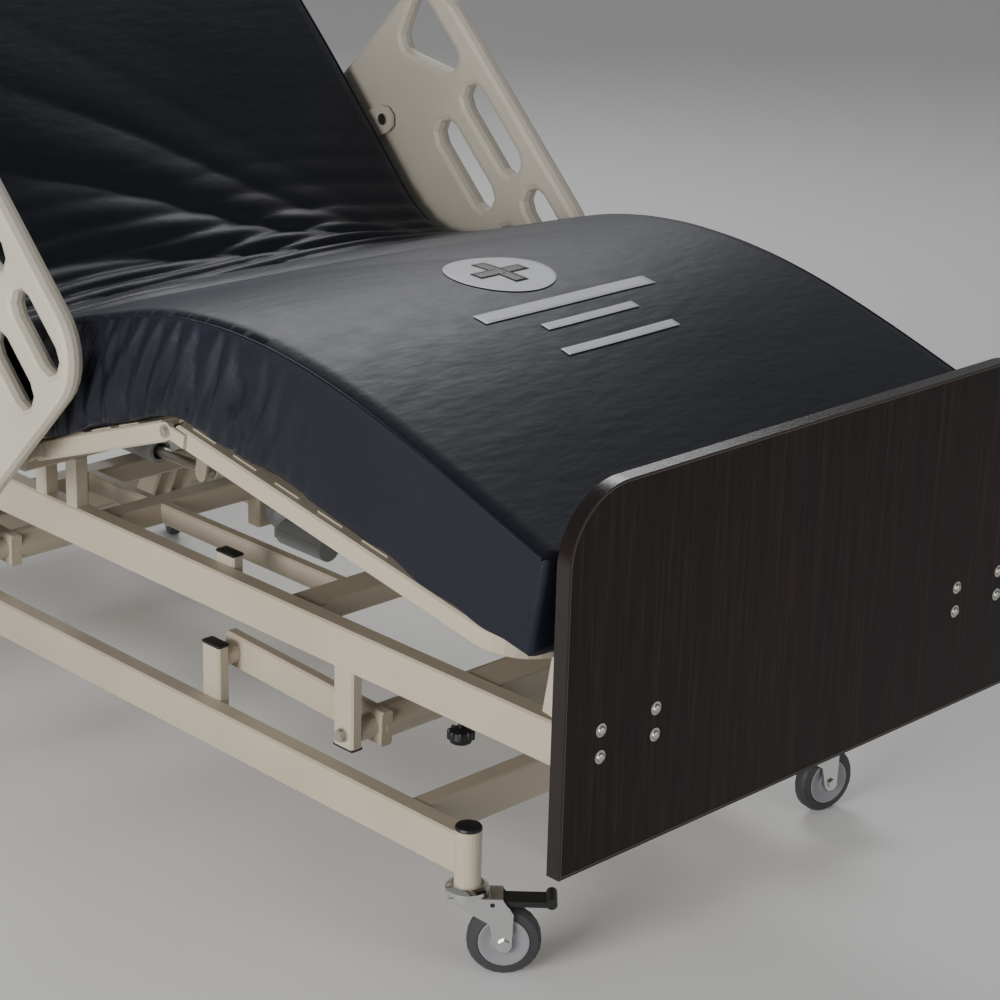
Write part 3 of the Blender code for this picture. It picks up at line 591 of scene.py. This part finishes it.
def edge_ring(name, material, low, high, y, half_thick, outer, inner):
    """A band that follows the board's edge between two insets."""
    work = bmesh.new()
    outer_line = board_outline(low, high, 0.095, outer)
    inner_line = board_outline(low, high, 0.095, inner)
    loops = [[work.verts.new((x, y + side * half_thick, z)) for x, z in line]
             for line, side in ((outer_line, -1), (outer_line, 1), (inner_line, 1), (inner_line, -1))]
    for first, second in zip(loops, loops[1:] + loops[:1]):
        for index in range(len(first)):
            after = (index + 1) % len(first)
            work.faces.new((first[index], first[after], second[after], second[index]))
    bmesh.ops.recalc_face_normals(work, faces=work.faces)
    return finish_mesh(name, work, material, "mid_frame", angle=30.0)


def pan_head(work, centre, axis):
    place = axis_matrix(centre, axis)
    lathe(work, [(0.0088, -0.001), (0.0088, 0.0008), (0.0060, 0.0012), (0.0056, 0.0034), (0.0042, 0.0046),
                 (0.0018, 0.0050)], 24, place)


def boards():
    for node, outward in (("footboard", -1), ("headboard", 1)):
        low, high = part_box(node)
        low_xz = (low[0], low[2])
        high_xz = (high[0], high[2])
        middle = (low[1] + high[1]) / 2
        edge_ring(f"{node}_edge_band", "edge_band", low_xz, high_xz, middle, 0.0103, -0.0004, 0.0030)
        edge_ring(f"{node}_edge_line", "edge_line", low_xz, high_xz, middle, 0.01045, 0.0026, 0.0034)
        work = bmesh.new()
        face = low[1] if outward < 0 else high[1]
        for side in SIDES:
            for x in (0.399, 0.303):
                for z in (0.467, 0.432):
                    pan_head(work, Vector((side * x, face, z)), (0, outward, 0))
        finish_mesh(f"{node}_screws", work, "zinc_steel", "mid_frame")


# Caps, wheel covers and small parts

def end_caps():
    work = bmesh.new()
    for y in (-0.766, 0.766):
        for side in SIDES:
            profile = [(0.0186, 0.0), (0.0186, 0.0022), (0.0172, 0.0044), (0.012, 0.0054), (0.004, 0.0058)]
            lathe(work, profile, 28, Matrix.Translation((side * 0.343, y, 0.2105)))
    for y in (-0.2055, 0.6945):
        for side in SIDES:
            rounded_box(work, (0.0205, 0.0405, 0.0050), (side * 0.321, y, 0.2872), 0.0018)
    finish_mesh("base_caps", work, "black_plastic", "base")
    work = bmesh.new()
    for y in (-0.50904, 0.39096):
        for side in SIDES:
            rounded_box(work, (0.0200, 0.0405, 0.0045), (side * 0.3298, y, 0.2336), 0.0016)
    for side in SIDES:
        rounded_box(work, (0.0205, 0.0405, 0.0045), (side * 0.302, -0.217, 0.4268), 0.0016)
    finish_mesh("frame_caps", work, "black_plastic", "mid_frame")


def joint_named(frame, name):
    return next(joint for joint in frame["joints"] if joint["name"] == name)


def wheel_covers(frame):
    for corner in CORNERS:
        spin = joint_named(frame, f"spin_{corner}")
        work = bmesh.new()
        for side in SIDES:
            axis = Vector(spin["axis"]) * side
            place = axis_matrix(Vector(spin["pos_m"]), axis)
            profile = [(0.0345, 0.0085), (0.0345, 0.0134), (0.0335, 0.0139), (0.0300, 0.0137),
                       (0.0270, 0.0122), (0.0180, 0.0118), (0.0150, 0.0136), (0.0105, 0.0140),
                       (0.0095, 0.0130)]
            lathe(work, profile, 40, place)
        finish_mesh(f"wheel_cover_{corner}", work, "wheel_disc", f"wheel_{corner}", angle=25.0)


def swivel_trim():
    for corner in CORNERS:
        low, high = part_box(f"caster_head_{corner}")
        centre = Vector(((low[0] + high[0]) / 2, (low[1] + high[1]) / 2, 0.0))
        work = bmesh.new()
        profile = [(0.0290, 0.1202), (0.0300, 0.1212), (0.0300, 0.1262), (0.0285, 0.1280), (0.0225, 0.1316)]
        lathe(work, profile, 40, Matrix.Translation(centre))
        finish_mesh(f"swivel_trim_{corner}", work, "caster_chrome", "base", angle=30.0)


def rail_recess(frame):
    """The raised ring around each assist rail's pivot."""
    for name, side in (("left", -1), ("right", 1)):
        drop = joint_named(frame, f"assist_rail_{name}_drop")
        centre = Vector(drop["pos_m"])
        centre.x = side * 0.5148
        work = bmesh.new()
        profile = [(0.0300, 0.0000), (0.0298, 0.0012), (0.0282, 0.0018), (0.0130, 0.0018), (0.0115, 0.0010)]
        lathe(work, profile, 40, axis_matrix(centre, (side, 0, 0)))
        finish_mesh(f"rail_recess_{name}", work, "moulded_rail", f"assist_rail_{name}")


def knob_lobes():
    for name in ("left", "right"):
        low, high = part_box(f"clamp_knob_{name}")
        work = bmesh.new()
        for step in range(8):
            angle = 2 * math.pi * step / 8
            centre = ((low[0] + high[0]) / 2 + 0.0155 * math.cos(angle),
                      (low[1] + high[1]) / 2 + 0.0155 * math.sin(angle), 0.2765)
            lobe = [(0.0030, 0.0), (0.0036, 0.002), (0.0036, 0.012), (0.0026, 0.015)]
            lathe(work, lobe, 12, Matrix.Translation(centre))
        finish_mesh(f"knob_lobes_{name}", work, "black_plastic", "mid_frame")


# Scene

def dress_cad(frame):
    """Gives every CAD node the finished material of its slot."""
    slots = {part["node"]: part["material_slot"] for part in frame["record"]["subparts"]}
    for name, item in frame["nodes"].items():
        item.data.materials.clear()
        item.data.materials.append(MATERIALS[slots[name]])
        bevel = item.modifiers.new("soft_edges", "BEVEL") if name in ("footboard", "headboard") else None
        if bevel:
            bevel.width = 0.0006


def floor():
    work = bmesh.new()
    for x, y in ((-14, -14), (14, -14), (14, 14), (-14, 14)):
        work.verts.new((x, y, -0.0005))
    work.faces.new(work.verts[:])
    mesh = bpy.data.meshes.new("floor")
    work.to_mesh(mesh)
    work.free()
    material, shader = node_material("floor", (0.86, 0.86, 0.86), 0.75)
    mesh.materials.append(material)
    ground = bpy.data.objects.new("floor", mesh)
    bpy.context.scene.collection.objects.link(ground)


def area_light(name, place, target, size, power, colour=(1.0, 1.0, 1.0)):
    data = bpy.data.lights.new(name, "AREA")
    data.shape = "RECTANGLE"
    data.size, data.size_y = size
    data.energy = power
    data.color = colour
    lamp = bpy.data.objects.new(name, data)
    lamp.location = place
    lamp.rotation_euler = (Vector(target) - Vector(place)).to_track_quat("-Z", "Y").to_euler()
    bpy.context.scene.collection.objects.link(lamp)


def lighting():
    world = bpy.data.worlds.new("studio")
    world.use_nodes = True
    world.node_tree.nodes["Background"].inputs["Color"].default_value = (1.0, 1.0, 1.0, 1.0)
    world.node_tree.nodes["Background"].inputs["Strength"].default_value = 0.26
    bpy.context.scene.world = world
    area_light("key", (-4.8, -1.0, 1.35), (0.0, -0.4, 0.45), (2.6, 1.8), 215.0, (1.0, 0.985, 0.96))
    area_light("fill", (0.4, -5.2, 1.7), (0.0, -0.6, 0.5), (3.0, 1.6), 45.0)
    area_light("rim", (2.6, 3.0, 3.6), (0.0, -0.1, 0.9), (2.6, 1.3), 70.0)


def camera():
    data = bpy.data.cameras.new("camera")
    data.lens = CAMERA_LENS
    data.sensor_width = 36.0
    data.clip_end = 60.0
    view = bpy.data.objects.new("camera", data)
    right = Vector(CAMERA_RIGHT).normalized()
    back = -Vector(CAMERA_FORWARD).normalized()
    up = back.cross(right).normalized()
    right = up.cross(back)
    view.matrix_world = Matrix.Translation(CAMERA_PLACE) @ Matrix((right, up, back)).transposed().to_4x4()
    bpy.context.scene.collection.objects.link(view)
    bpy.context.scene.camera = view


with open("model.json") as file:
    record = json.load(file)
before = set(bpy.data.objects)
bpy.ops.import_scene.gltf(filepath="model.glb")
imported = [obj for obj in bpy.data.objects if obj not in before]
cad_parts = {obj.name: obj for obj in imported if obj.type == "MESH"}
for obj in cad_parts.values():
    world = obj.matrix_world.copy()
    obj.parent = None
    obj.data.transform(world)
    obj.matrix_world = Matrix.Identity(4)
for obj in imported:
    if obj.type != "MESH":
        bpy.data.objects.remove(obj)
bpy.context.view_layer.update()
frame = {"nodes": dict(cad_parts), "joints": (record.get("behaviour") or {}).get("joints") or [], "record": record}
MATERIALS = make_materials()
dress_cad(frame)
cover_rings = mattress()
printed_mark(cover_rings)
boards()
end_caps()
wheel_covers(frame)
swivel_trim()
rail_recess(frame)
knob_lobes()
floor()
lighting()
camera()
